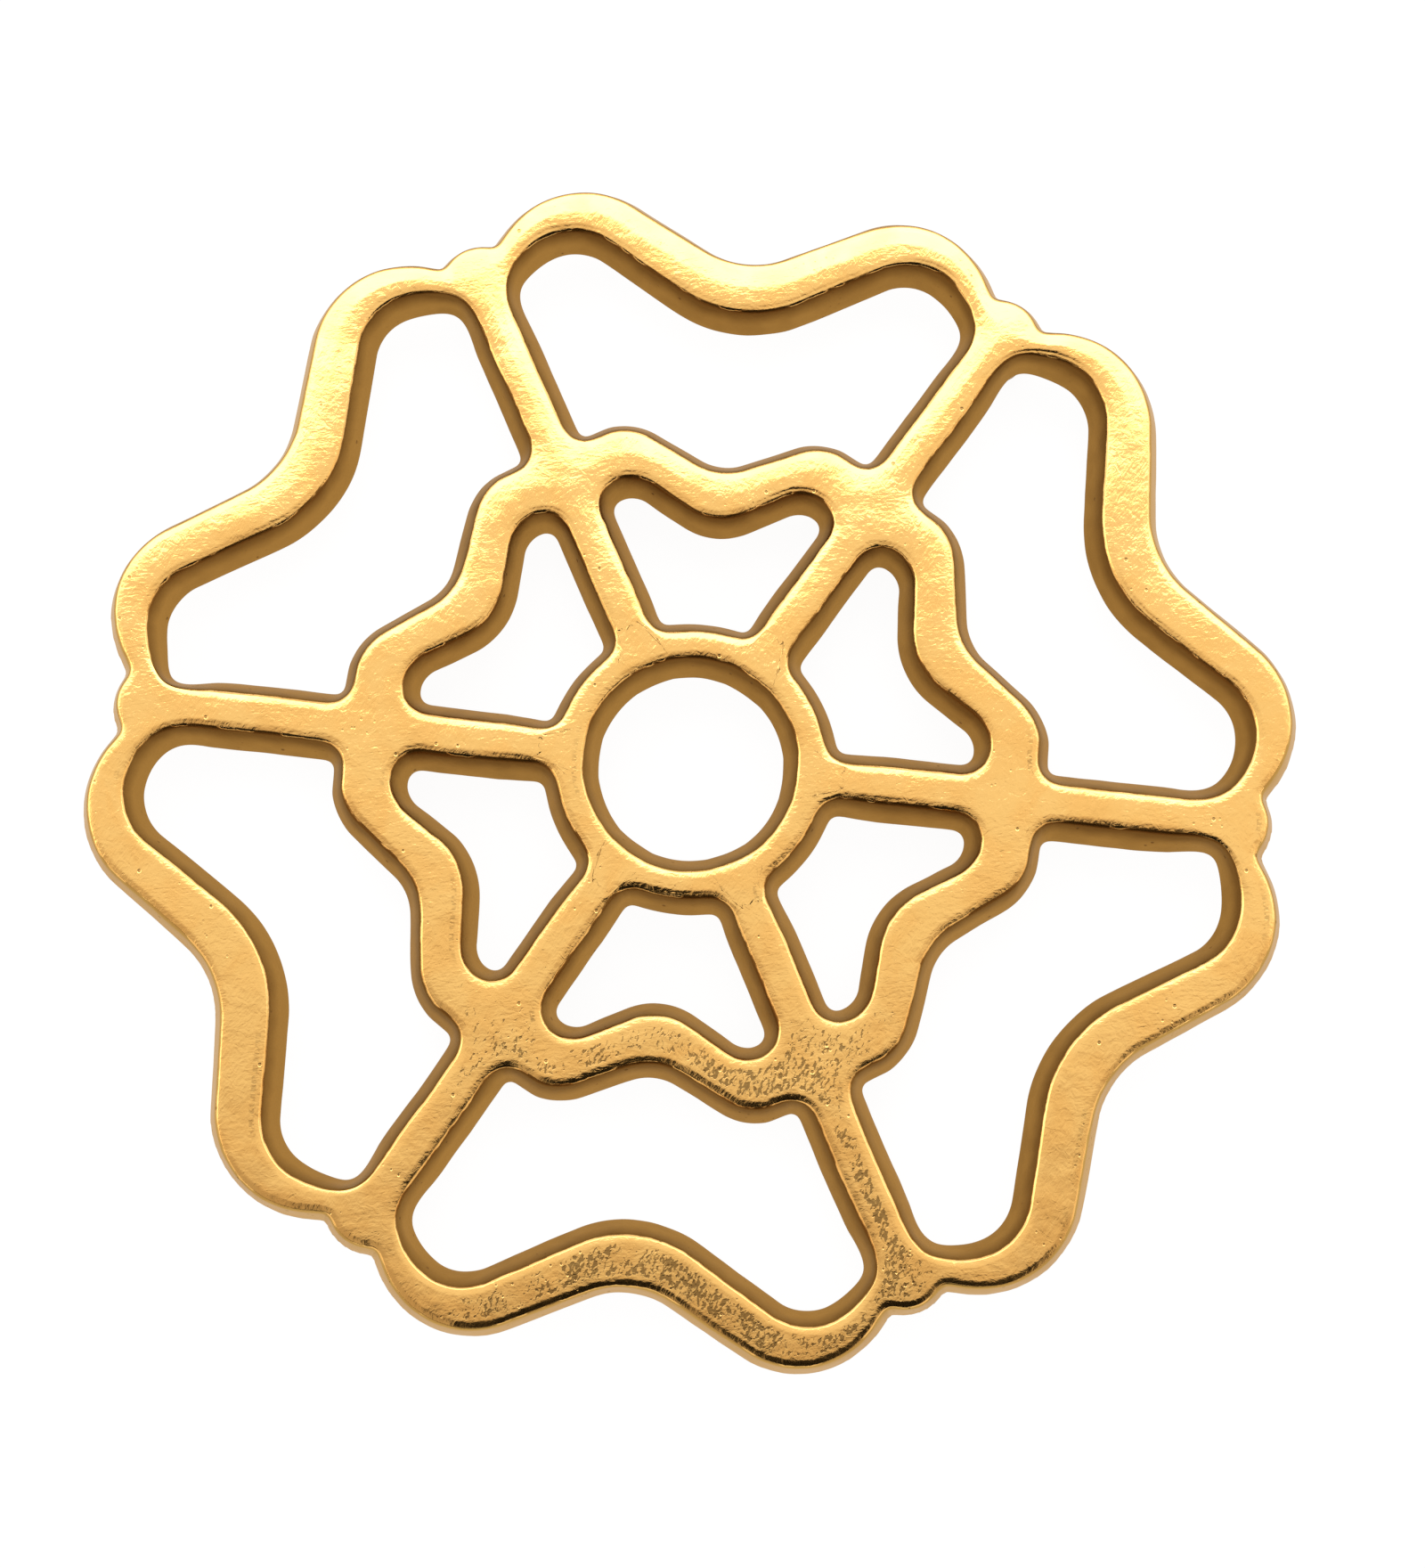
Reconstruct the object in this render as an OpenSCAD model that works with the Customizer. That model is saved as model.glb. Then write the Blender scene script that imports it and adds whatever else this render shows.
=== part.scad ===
// Openwork brass trivet in the form of a six-petalled rose.
// One sand casting: a hub ring, six spokes, an inner and an outer ring of six two-lobed petals,
// and three short feet. Its features are modelled one by one and meet face to face.
// Millimetres, +Z up, origin on the table under the middle of the hub. Spoke 1 runs along +X.
//
// Every outline below is the widest one, at the underside of the casting. The walls lean in
// from there to the polished top by the mould's draft, and the top edge is rounded over.
// A lobe's place is given as seen from the spoke beside it: along it, and aside from its middle.

/* [Casting] */
// Thickness of the casting, underside to top
cast_h = 6; // [4.5:0.1:7]
// Lean of the walls from upright, degrees
draft = 20; // [12:0.5:24]
// Radius of the buffed edge round the top
edge_r = 1; // [0.5:0.1:1.4]

/* [Hub ring] */
// Outside diameter of the hub ring
hub_d = 43.6; // [40:0.2:47]
// Diameter of the hole in the hub ring
hub_hole_d = 27; // [24:0.2:28]
// Radius in the corners between hub ring and spokes
hub_corner_r = 1.5; // [0.8:0.1:2.5]

/* [Spokes] */
// Width of a spoke
spoke_w = 9.4; // [8.6:0.1:10.4]
// Distance from the middle of the trivet to a spoke's tip
tip_reach = 86.5; // [86:0.1:88]
// Radius of a spoke's rounded tip
tip_r = 8; // [7:0.1:10]
// Radius in the notches beside a tip
notch_r = 0.5; // [0.3:0.1:1]

/* [Inner petals, outer edge] */
// Distance along the spoke to the middle of the lobe
inner_lobe_along = 42.1; // [41:0.1:43]
// Distance of that middle aside from the spoke's middle
inner_lobe_aside = 7.5; // [7:0.1:8]
// Radius of the lobe
inner_lobe_r = 10.3; // [9.6:0.1:11]
// Distance from the middle of the trivet to the valley between the lobes
inner_valley_reach = 45.8; // [45:0.1:46.6]
// Radius of the valley
inner_valley_r = 8; // [6:0.1:9]
// Radius in the corners between petal and spoke, outside
inner_corner_r = 1.3; // [0.8:0.1:2]

/* [Inner petals, gap] */
// Distance along the spoke to the middle of the gap's lobe
inner_gap_along = 36.8; // [36:0.1:37.4]
// Distance of that middle aside from the spoke's middle
inner_gap_aside = 6.4; // [6:0.1:6.8]
// Radius of the gap's lobe
inner_gap_r = 4.2; // [3.8:0.1:4.6]
// Distance from the middle of the trivet to the gap's valley
inner_gap_reach = 34.6; // [34:0.1:35]
// Radius of the gap's valley
inner_gap_valley_r = 12; // [11:0.1:14]
// Radius in the gap's corners beside the spokes
inner_gap_corner_r = 1.6; // [1.2:0.1:2]

/* [Outer petals, outer edge] */
// Distance along the spoke to the middle of the lobe
outer_lobe_along = 72.8; // [72:0.1:73.6]
// Distance of that middle aside from the spoke's middle
outer_lobe_aside = 14.3; // [13.8:0.1:14.8]
// Radius of the lobe
outer_lobe_r = 16; // [15.4:0.1:16.6]
// Distance from the middle of the trivet to the valley between the lobes
outer_valley_reach = 77.7; // [77:0.1:78.5]
// Radius of the valley
outer_valley_r = 13; // [10:0.1:14]

/* [Outer petals, gap] */
// Distance along the spoke to the middle of the gap's lobe
outer_gap_along = 71.9; // [71:0.1:72.6]
// Radius of the gap's lobe, which runs into the spoke's side
outer_gap_r = 7.5; // [7:0.1:8]
// Distance from the middle of the trivet to the gap's valley
outer_gap_reach = 66; // [65.2:0.1:66.8]
// Radius of the gap's valley
outer_gap_valley_r = 21; // [18:0.1:23]

/* [Feet] */
// Height of a foot
foot_h = 8; // [4:0.5:12]
// Diameter of a foot where it leaves the casting
foot_d = 8.6; // [7:0.1:9]
// Diameter of a foot at the table
foot_tip_d = 6.8; // [5.5:0.1:7]
// Bevel round the bottom of a foot
foot_bevel = 0.5; // [0.2:0.1:0.8]
// Distance from the middle of the trivet to a foot
foot_reach = 79.5; // [78:0.1:81]

/* [Hidden] */

// Six of everything, so a petal lies half a sector from each of its spokes
SECTOR = 60;
HALF_SECTOR = 30;
FEET_SECTOR = 120;

// Colours of the polished top and of the duller feet
BRASS = [0.90, 0.69, 0.38];
DULL_BRASS = [0.66, 0.48, 0.25];

// How many straight steps stand for each arc
EDGE_STEPS = 3;
FILLET_STEPS = 3;
HUB_STEPS = 5;
INNER_LOBE_STEPS = 8;
OUTER_LOBE_STEPS = 10;
VALLEY_STEPS = 5;
TIP_STEPS = 3;
NOTCH_STEPS = 2;
SHOULDER_STEPS = 3;
// The gap's end beside a spoke has as many steps as the outer edge across from it
GAP_END_STEPS = SHOULDER_STEPS + NOTCH_STEPS + TIP_STEPS;
FOOT_FACETS = 64;

// How much faster than the notch itself its radius grows as the wall leans in
NOTCH_GROWTH_SHARE = 0.5;
// Direction in which a petal is parted from its spoke, degrees from the spoke's own
INNER_PARTING = 10;
OUTER_PARTING = 0;

spoke_half = spoke_w / 2;
hub_r = hub_d / 2;
hub_hole_r = hub_hole_d / 2;

inner_lobe = [inner_lobe_along, inner_lobe_aside];
inner_gap_lobe = [inner_gap_along, inner_gap_aside];
outer_lobe = [outer_lobe_along, outer_lobe_aside];
outer_gap_lobe = [outer_gap_along, spoke_half + outer_gap_r];
tip_mid = [tip_reach - tip_r, 0];

// Section of a wall: each level is the inset from the widest outline, and the height over it
edge_mid_z = cast_h - edge_r;
edge_mid_inset = (edge_r + edge_mid_z * sin(draft)) / cos(draft);
edge_turn = 90 - draft;
LEVELS = concat([[0, 0]], [
    for (j = [0:EDGE_STEPS])
    let (a = 180 - draft - edge_turn * j / EDGE_STEPS)
    [edge_mid_inset + edge_r * cos(a), edge_mid_z + edge_r * sin(a)]
]);
LAST = len(LEVELS) - 1;

// Plane geometry
function direction(a) = [cos(a), sin(a)];
function turned(p, a) = [p.x * cos(a) - p.y * sin(a), p.x * sin(a) + p.y * cos(a)];
function mirrored_y(p) = [p.x, -p.y];
function mirrored_x(p) = [-p.x, p.y];
function angle_of(p) = atan2(p.y, p.x);
function reversed(list) = [for (j = [len(list) - 1:-1:0]) list[j]];
function without_last(list) = [for (j = [0:len(list) - 2]) list[j]];
function without_first(list) = [for (j = [1:len(list) - 1]) list[j]];

// Points of an arc from angle a to angle b
function arc(mid, r, a, b, steps) = [
    for (j = [0:steps])
    mid + r * direction(a + (b - a) * j / steps)
];

// Middle of a corner's arc that touches the line at height h and, from the left, a circle
// whose middle is mid: reach is the distance between the two middles
function corner_mid(mid, reach, h) =
    [mid.x + sqrt(reach * reach - (h - mid.y) * (h - mid.y)), h];

// Angle at which a ray from the point p, running in direction a, leaves a circle
function leaving_angle(mid, r, p, a) =
    let (
        f = p - mid,
        along = f * direction(a),
        far = sqrt(along * along - f * f + r * r) - along
    )
    angle_of(f + far * direction(a));

// Middle of the arc that rounds the notch between two circles from outside
function notch_mid(mid_a, reach_a, mid_b, reach_b) =
    let (
        gap = mid_b - mid_a,
        d = norm(gap),
        x = (reach_a * reach_a - reach_b * reach_b + d * d) / (2 * d),
        y = sqrt(reach_a * reach_a - x * x),
        u = gap / d
    )
    mid_a + x * u + y * [u.y, -u.x];

// Where a lobe's arc hands over to the valley's arc beyond it, in the petal's frame: the angle at
// which the first ends and the one at which the second starts. A straight run joins arcs that
// lie apart, and arcs that overlap meet where they cross.
function handover(lobe, lobe_r, valley, valley_r) =
    let (
        gap = valley - lobe,
        d = norm(gap),
        apart = d >= lobe_r + valley_r,
        lean = apart
            ? acos((lobe_r + valley_r) / d)
            : acos((d * d + lobe_r * lobe_r - valley_r * valley_r) / (2 * d * lobe_r)),
        valley_lean = apart
            ? lean
            : -acos((d * d + valley_r * valley_r - lobe_r * lobe_r) / (2 * d * valley_r))
    )
    [angle_of(gap) - lean, angle_of(gap) - 180 - valley_lean];

// Solids lofted through the levels

function level_points(outline, z) = [for (p = outline) [p.x, p.y, z]];

// Side faces of a loop of count points that starts at the index first on each level
function loft_sides(count, stride, first, outward) = [
    for (level = [0:LAST - 1], j = [0:count - 1])
    let (
        a = first + level * stride + j,
        b = first + level * stride + (j + 1) % count
    )
    outward ? [a, a + stride, b + stride, b] : [b, b + stride, a + stride, a]
];

// Top and bottom faces from the same list of polygons, each anticlockwise seen from above
function caps(polygons, top_offset) = concat(
    [for (p = polygons) p],
    [for (p = polygons) [for (v = reversed(p)) v + top_offset]]
);

// The casting's level at height z above its underside lies this far above the table
function table_z(z) = foot_h + z;

// Hub ring

hub_corner_along = corner_mid([0, 0], hub_r + hub_corner_r, spoke_half + hub_corner_r).x;
hub_corner = [hub_corner_along, spoke_half + hub_corner_r];
hub_corner_angle = angle_of(hub_corner);

// One sector of the ring's outer edge, from the middle of one spoke to the next
function hub_sector(inset) =
    let (corner = arc(
        hub_corner, hub_corner_r + inset, -90, hub_corner_angle - 180, FILLET_STEPS))
    concat(
        [[hub_corner_along, 0]],
        corner,
        without_last(without_first(arc(
            [0, 0], hub_r - inset,
            hub_corner_angle, SECTOR - hub_corner_angle, HUB_STEPS))),
        reversed([for (p = corner) turned(mirrored_y(p), SECTOR)])
    );

function hub_outline(inset) = [
    for (k = [0:5], p = hub_sector(inset)) turned(p, SECTOR * k)
];

// The hole's edge has one point across from each point of the outer edge
function hub_hole_outline(inset) = [
    for (p = hub_outline(0)) (hub_hole_r + inset) * direction(angle_of(p))
];

module hub_ring() {
    count = len(hub_outline(0));
    stride = 2 * count;
    color(BRASS)
    polyhedron(
        points = [
            for (level = LEVELS)
            each level_points(
                concat(hub_outline(level[0]), hub_hole_outline(level[0])), table_z(level[1]))
        ],
        faces = concat(
            loft_sides(count, stride, 0, true),
            loft_sides(count, stride, count, false),
            caps(
                [for (j = [0:count - 1]) let (n = (j + 1) % count)
                    [j, n, count + n, count + j]],
                LAST * stride)
        )
    );
}

// Spokes, each with the shoulders that its petals spring from and its rounded tip

inner_gap_corner = corner_mid(
    inner_gap_lobe, inner_gap_r - inner_gap_corner_r, spoke_half + inner_gap_corner_r);
inner_corner = corner_mid(
    inner_lobe, inner_lobe_r + inner_corner_r, spoke_half + inner_corner_r);

// Edge of the inner gap beside the spoke, from the spoke's side to the parting
function inner_gap_end(inset) =
    let (handed = angle_of(inner_gap_corner - inner_gap_lobe))
    concat(
        arc(inner_gap_corner, inner_gap_corner_r + inset, -90, handed, FILLET_STEPS),
        [inner_gap_lobe + (inner_gap_r + inset) * direction(INNER_PARTING)]
    );

// Outer edge of the inner petal's shoulder, from the parting to the spoke's side
function inner_shoulder(inset) =
    let (
        parted = leaving_angle(
            inner_lobe, inner_lobe_r - inset, inner_gap_lobe, INNER_PARTING),
        handed = angle_of(inner_corner - inner_lobe)
    )
    concat(
        [inner_lobe + (inner_lobe_r - inset) * direction(parted)],
        arc(inner_corner, inner_corner_r + inset, handed + 180, 270, FILLET_STEPS)
    );

// Edge of the outer gap beside the spoke, from the spoke's side to the parting
function outer_gap_end(inset) = arc(
    outer_gap_lobe, outer_gap_r + inset, -90, OUTER_PARTING, GAP_END_STEPS);

// Outer edge from the parting past the notch to the spoke's tip. The notch rounds the corner
// between the lobe and the tip's arc, or its straight side where the tip stands out further.
function outer_shoulder(inset) =
    let (
        lobe_r = outer_lobe_r - inset,
        round_r = tip_r - inset,
        r = notch_r + inset * NOTCH_GROWTH_SHARE,
        beside = corner_mid(outer_lobe, lobe_r + r, round_r + r),
        straight = beside.x < tip_mid.x,
        notch = straight
            ? beside
            : notch_mid(tip_mid, round_r + r, outer_lobe, lobe_r + r),
        parted = leaving_angle(outer_lobe, lobe_r, outer_gap_lobe, OUTER_PARTING),
        lobe_end = angle_of(notch - outer_lobe),
        tip_start = straight ? 90 : angle_of(notch - tip_mid)
    )
    concat(
        arc(outer_lobe, lobe_r, parted, lobe_end, SHOULDER_STEPS),
        without_first(arc(notch, r, lobe_end + 180, tip_start + 180, NOTCH_STEPS)),
        without_first(arc(tip_mid, round_r, tip_start, 0, TIP_STEPS))
    );

// One side of a spoke, from the hub to the tip
function spoke_side(inset) = concat(
    [[hub_corner_along, spoke_half - inset]],
    inner_gap_end(inset),
    inner_shoulder(inset),
    outer_gap_end(inset),
    outer_shoulder(inset)
);

// The tip lies on the spoke's middle, so it is shared by both sides
function spoke_outline(inset) =
    let (side = spoke_side(inset))
    concat([for (p = without_last(side)) mirrored_y(p)], reversed(side));

module spoke(k) {
    side_count = len(spoke_side(0));
    count = 2 * side_count - 1;
    // Numbers of the points where the straight stretches end
    crossing_first = 1;
    crossing_last = len(inner_gap_end(0)) + len(inner_shoulder(0));
    gap_first = crossing_last + 1;
    parting = gap_first + GAP_END_STEPS;
    tip = side_count - 1;
    // One more point in the middle of the crossing, from which its caps fan out
    stride = count + 1;
    middle = [(inner_gap_corner.x + inner_corner.x) / 2, 0];
    function other(j) = 2 * tip - j;
    crossing_loop = concat(
        [for (j = [crossing_first:crossing_last]) j],
        [for (j = [crossing_last:-1:crossing_first]) other(j)]
    );
    color(BRASS)
    rotate([0, 0, SECTOR * (k - 1)])
    polyhedron(
        points = [
            for (level = LEVELS)
            each level_points(
                concat(spoke_outline(level[0]), [middle]), table_z(level[1]))
        ],
        faces = concat(
            loft_sides(count, stride, 0, true),
            caps(
                concat(
                    [[0, crossing_first, other(crossing_first), other(0)]],
                    [for (j = [0:len(crossing_loop) - 1])
                        [count, crossing_loop[j],
                            crossing_loop[(j + 1) % len(crossing_loop)]]],
                    [[crossing_last, gap_first, other(gap_first), other(crossing_last)]],
                    [[gap_first, tip, other(gap_first)]],
                    [for (j = [0:GAP_END_STEPS - 1])
                        [gap_first + j, gap_first + j + 1, tip - j - 1, tip - j]],
                    [for (j = [0:GAP_END_STEPS - 1])
                        [other(gap_first + j), other(tip - j),
                            other(tip - j - 1), other(gap_first + j + 1)]]
                ),
                LAST * stride)
        )
    );
}

// Petals, in a frame of their own whose +Y runs out between the two spokes

// Half of one edge, from the parting to the valley: the lobe's arc, a straight run, the valley's
function half_edge(lobe, lobe_r, valley, valley_r, start, lobe_steps) =
    let (
        lobe_here = turned(lobe, SECTOR),
        ends = handover(lobe_here, lobe_r, valley, valley_r)
    )
    concat(
        arc(lobe_here, lobe_r, start + SECTOR, ends[0], lobe_steps),
        arc(valley, valley_r, ends[1], -90, VALLEY_STEPS)
    );

function whole_edge(half) = concat(half, without_first(reversed([for (p = half) mirrored_x(p)])));

function inner_petal_edge(inset) =
    let (r = inner_lobe_r - inset)
    whole_edge(half_edge(
        inner_lobe, r,
        [0, inner_valley_reach + inner_valley_r], inner_valley_r + inset,
        leaving_angle(inner_lobe, r, inner_gap_lobe, INNER_PARTING), INNER_LOBE_STEPS));

function inner_petal_gap(inset) = whole_edge(half_edge(
    inner_gap_lobe, inner_gap_r + inset,
    [0, inner_gap_reach + inner_gap_valley_r], inner_gap_valley_r - inset,
    INNER_PARTING, INNER_LOBE_STEPS));

function outer_petal_edge(inset) =
    let (r = outer_lobe_r - inset)
    whole_edge(half_edge(
        outer_lobe, r,
        [0, outer_valley_reach + outer_valley_r], outer_valley_r + inset,
        leaving_angle(outer_lobe, r, outer_gap_lobe, OUTER_PARTING), OUTER_LOBE_STEPS));

function outer_petal_gap(inset) = whole_edge(half_edge(
    outer_gap_lobe, outer_gap_r + inset,
    [0, outer_gap_reach + outer_gap_valley_r], outer_gap_valley_r - inset,
    OUTER_PARTING, OUTER_LOBE_STEPS));

// A strap between two edges that have the same number of points, listed level by level
module strap(edges, gaps) {
    edge_count = len(edges[0]);
    count = 2 * edge_count;
    polyhedron(
        points = [
            for (n = [0:LAST])
            each level_points(concat(edges[n], reversed(gaps[n])), table_z(LEVELS[n][1]))
        ],
        faces = concat(
            loft_sides(count, count, 0, true),
            caps(
                [for (j = [0:edge_count - 2])
                    [j, j + 1, count - 2 - j, count - 1 - j]],
                LAST * count)
        )
    );
}

// Petal k lies between spoke k and the next one round
module inner_petal(k) {
    color(BRASS)
    rotate([0, 0, SECTOR * (k - 1) + HALF_SECTOR - 90])
    strap(
        [for (level = LEVELS) inner_petal_edge(level[0])],
        [for (level = LEVELS) inner_petal_gap(level[0])]
    );
}

module outer_petal(k) {
    color(BRASS)
    rotate([0, 0, SECTOR * (k - 1) + HALF_SECTOR - 90])
    strap(
        [for (level = LEVELS) outer_petal_edge(level[0])],
        [for (level = LEVELS) outer_petal_gap(level[0])]
    );
}

// Feet, short tapered pegs under every second spoke's end

module foot(k) {
    foot_r = foot_d / 2;
    tip_edge_r = foot_tip_d / 2;
    color(DULL_BRASS)
    rotate([0, 0, FEET_SECTOR * (k - 1) + SECTOR])
    translate([foot_reach, 0, 0])
    rotate_extrude($fn = FOOT_FACETS)
    polygon([
        [0, 0],
        [tip_edge_r - foot_bevel, 0],
        [tip_edge_r, foot_bevel],
        [foot_r, foot_h],
        [0, foot_h]
    ]);
}

hub_ring();
spoke(1);  // spoke_1
spoke(2);  // spoke_2
spoke(3);  // spoke_3
spoke(4);  // spoke_4
spoke(5);  // spoke_5
spoke(6);  // spoke_6
inner_petal(1);  // inner_petal_1
inner_petal(2);  // inner_petal_2
inner_petal(3);  // inner_petal_3
inner_petal(4);  // inner_petal_4
inner_petal(5);  // inner_petal_5
inner_petal(6);  // inner_petal_6
outer_petal(1);  // outer_petal_1
outer_petal(2);  // outer_petal_2
outer_petal(3);  // outer_petal_3
outer_petal(4);  // outer_petal_4
outer_petal(5);  // outer_petal_5
outer_petal(6);  // outer_petal_6
foot(1);  // foot_1
foot(2);  // foot_2
foot(3);  // foot_3
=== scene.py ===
"""Openwork brass trivet: its looks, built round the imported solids.

The casting's features are joined for a moment so that one smooth skin runs over them, then parted
again into the same named pieces. The feet are turned from a profile. Units are metres.
"""
from __future__ import annotations

import logging
import math
from dataclasses import dataclass
from enum import Enum
from typing import Any, Union

import bmesh
import bpy
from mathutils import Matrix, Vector, noise
from mathutils.bvhtree import BVHTree


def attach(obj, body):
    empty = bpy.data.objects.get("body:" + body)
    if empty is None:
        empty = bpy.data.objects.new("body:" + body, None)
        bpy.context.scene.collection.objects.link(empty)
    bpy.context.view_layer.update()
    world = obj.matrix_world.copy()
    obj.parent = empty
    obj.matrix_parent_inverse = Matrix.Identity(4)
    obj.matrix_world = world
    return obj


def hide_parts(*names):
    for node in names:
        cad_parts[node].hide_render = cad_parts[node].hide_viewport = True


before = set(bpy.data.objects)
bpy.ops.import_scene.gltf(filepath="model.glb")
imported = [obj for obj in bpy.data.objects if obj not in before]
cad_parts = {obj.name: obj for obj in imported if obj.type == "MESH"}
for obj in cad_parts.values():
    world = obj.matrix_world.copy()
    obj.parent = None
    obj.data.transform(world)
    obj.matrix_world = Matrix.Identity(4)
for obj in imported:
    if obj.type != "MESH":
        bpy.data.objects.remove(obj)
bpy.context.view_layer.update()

LOG = logging.getLogger("trivet")
MM = 0.001
SECTOR = math.radians(60)
BODY = "root"
OUTER_WALL = "outer_wall"
FACING_UP = "facing_up"
INSET = "inset"
LOWER_SIDE = "lower_side"
RIGHT_SIDE = "right_side"
OWNER = "owner"
LEAN = "lean"
WHITE = (1.0, 1.0, 1.0, 1.0)


class Slot(Enum):
    """Names of the finishes."""

    POLISHED = "polished_brass"
    CAST = "cast_brass"


def share_past(value: float, start: float, width: float) -> float:
    """How far a value is past a start.

    Args:
        value: the value.
        start: where the share is 0.
        width: how much further on it is 1.

    Returns:
        The share, from 0 to 1.
    """
    return max(0.0, min(1.0, (value - start) / width))


# Shader maths


Value = Union["Sock", float]


class Sock:
    """One shader socket, on which Python's operators add Math nodes."""

    def __init__(self, graph: "Graph", socket: bpy.types.NodeSocket) -> None:
        """Wraps an output socket.

        Args:
            graph: the node tree that the socket belongs to.
            socket: the output socket.
        """
        self.graph = graph
        self.socket = socket

    def _math(self, operation: str, *values: Value) -> "Sock":
        """Adds one Math node."""
        return self.graph.node(
            "ShaderNodeMath", {"operation": operation}, dict(enumerate(values)))

    def __add__(self, other: Value) -> "Sock":
        """This plus the other."""
        return self._math("ADD", self, other)

    def __radd__(self, other: Value) -> "Sock":
        """The other plus this."""
        return self._math("ADD", other, self)

    def __sub__(self, other: Value) -> "Sock":
        """This less the other."""
        return self._math("SUBTRACT", self, other)

    def __rsub__(self, other: Value) -> "Sock":
        """The other less this."""
        return self._math("SUBTRACT", other, self)

    def __mul__(self, other: Value) -> "Sock":
        """This times the other."""
        return self._math("MULTIPLY", self, other)

    def __rmul__(self, other: Value) -> "Sock":
        """The other times this."""
        return self._math("MULTIPLY", other, self)

    def __abs__(self) -> "Sock":
        """This without its sign."""
        return self._math("ABSOLUTE", self)

    def least(self, other: Value) -> "Sock":
        """The smaller of the two."""
        return self._math("MINIMUM", self, other)

    def most(self, other: Value) -> "Sock":
        """The larger of the two."""
        return self._math("MAXIMUM", self, other)

    def over(self, other: Value) -> "Sock":
        """Angle of the point (other, this), in radians."""
        return self._math("ARCTAN2", self, other)

    def ramp(self, low: float, high: float) -> "Sock":
        """A smooth step.

        Args:
            low: value at which the step starts from 0.
            high: value at which it reaches 1. It may be the smaller of the two.

        Returns:
            The step, from 0 to 1.
        """
        if low < high:
            return self.graph.node(
                "ShaderNodeMapRange", {"interpolation_type": "SMOOTHSTEP"},
                {"Value": self, "From Min": low, "From Max": high})
        return 1 - self.ramp(high, low)

    def band(self, low: float, high: float, soft: float) -> "Sock":
        """A smooth band.

        Args:
            low: value at which the band starts.
            high: value at which it ends.
            soft: width of each of its edges.

        Returns:
            1 inside the band and 0 outside.
        """
        return self.ramp(low - soft, low) * self.ramp(high + soft, high)


class Graph:
    """The node tree of one material or world."""

    def __init__(self, tree: bpy.types.NodeTree) -> None:
        """Empties the tree.

        Args:
            tree: the node tree to fill.
        """
        self.tree = tree
        tree.nodes.clear()

    def node(self, kind: str, settings: dict[str, Any] | None = None,
             values: dict[Any, Any] | None = None, out: Any = 0) -> Sock:
        """Adds one node.

        Args:
            kind: the node's type.
            settings: the node's own settings.
            values: values or links by the socket's name or number.
            out: name or number of the output that is wanted.

        Returns:
            The wanted output.
        """
        made = self.tree.nodes.new(kind)
        for name, value in (settings or {}).items():
            setattr(made, name, value)
        for name, value in (values or {}).items():
            if isinstance(value, Sock):
                self.tree.links.new(value.socket, made.inputs[name])
            else:
                made.inputs[name].default_value = value
        return Sock(self, made.outputs[out]) if len(made.outputs) else None

    def mix(self, share: Value, a: Any, b: Any) -> Sock:
        """Mixes two colours.

        Args:
            share: how much of b there is.
            a: the first colour or socket.
            b: the second one.

        Returns:
            The mixed colour.
        """
        return self.node(
            "ShaderNodeMix", {"data_type": "RGBA"}, {0: share, 6: a, 7: b}, out=2)

    def grain(self, place: Sock, size: float, detail: float = 2.0,
              distortion: float = 0.0) -> Sock:
        """Noise whose features are about one size.

        Args:
            place: the coordinates.
            size: size of a feature, in metres.
            detail: how many finer octaves there are.
            distortion: how far the noise is stirred.

        Returns:
            Noise about 0.5.
        """
        return self.node(
            "ShaderNodeTexNoise", {},
            {"Vector": place, "Scale": 1 / size, "Detail": detail, "Distortion": distortion})

    def strokes(self, place: Sock, size: float, longer: float, turn: float) -> Sock:
        """Noise drawn out in one direction, like the marks of a brush.

        Args:
            place: the coordinates.
            size: width of a stroke, in metres.
            longer: how many times longer than wide it is.
            turn: its direction, in degrees from the coordinates' x.

        Returns:
            Noise about 0.5.
        """
        drawn = self.node(
            "ShaderNodeMapping", {"vector_type": "TEXTURE"},
            {"Vector": place, "Rotation": (0.0, 0.0, math.radians(turn)),
             "Scale": (longer, 1.0, 1.0)})
        return self.grain(drawn, size, 2.0, 0.4)

    def mark(self, name: str) -> Sock:
        """The value that the piece's mesh carries under a name."""
        return self.node("ShaderNodeAttribute", {"attribute_name": name}, out="Fac")

    def toward(self, place: Sock, way: tuple | Vector) -> Sock:
        """How far a place or direction lies along a way."""
        return self.node(
            "ShaderNodeVectorMath", {"operation": "DOT_PRODUCT"}, {0: place, 1: way},
            out="Value")

    def cells(self, place: Sock, size: float) -> Sock:
        """Distance to the nearest of scattered points, as a share of their spacing.

        Args:
            place: the coordinates.
            size: spacing of the points, in metres.

        Returns:
            The distance.
        """
        return self.node("ShaderNodeTexVoronoi", {}, {"Vector": place, "Scale": 1 / size})


# Finishes


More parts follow.
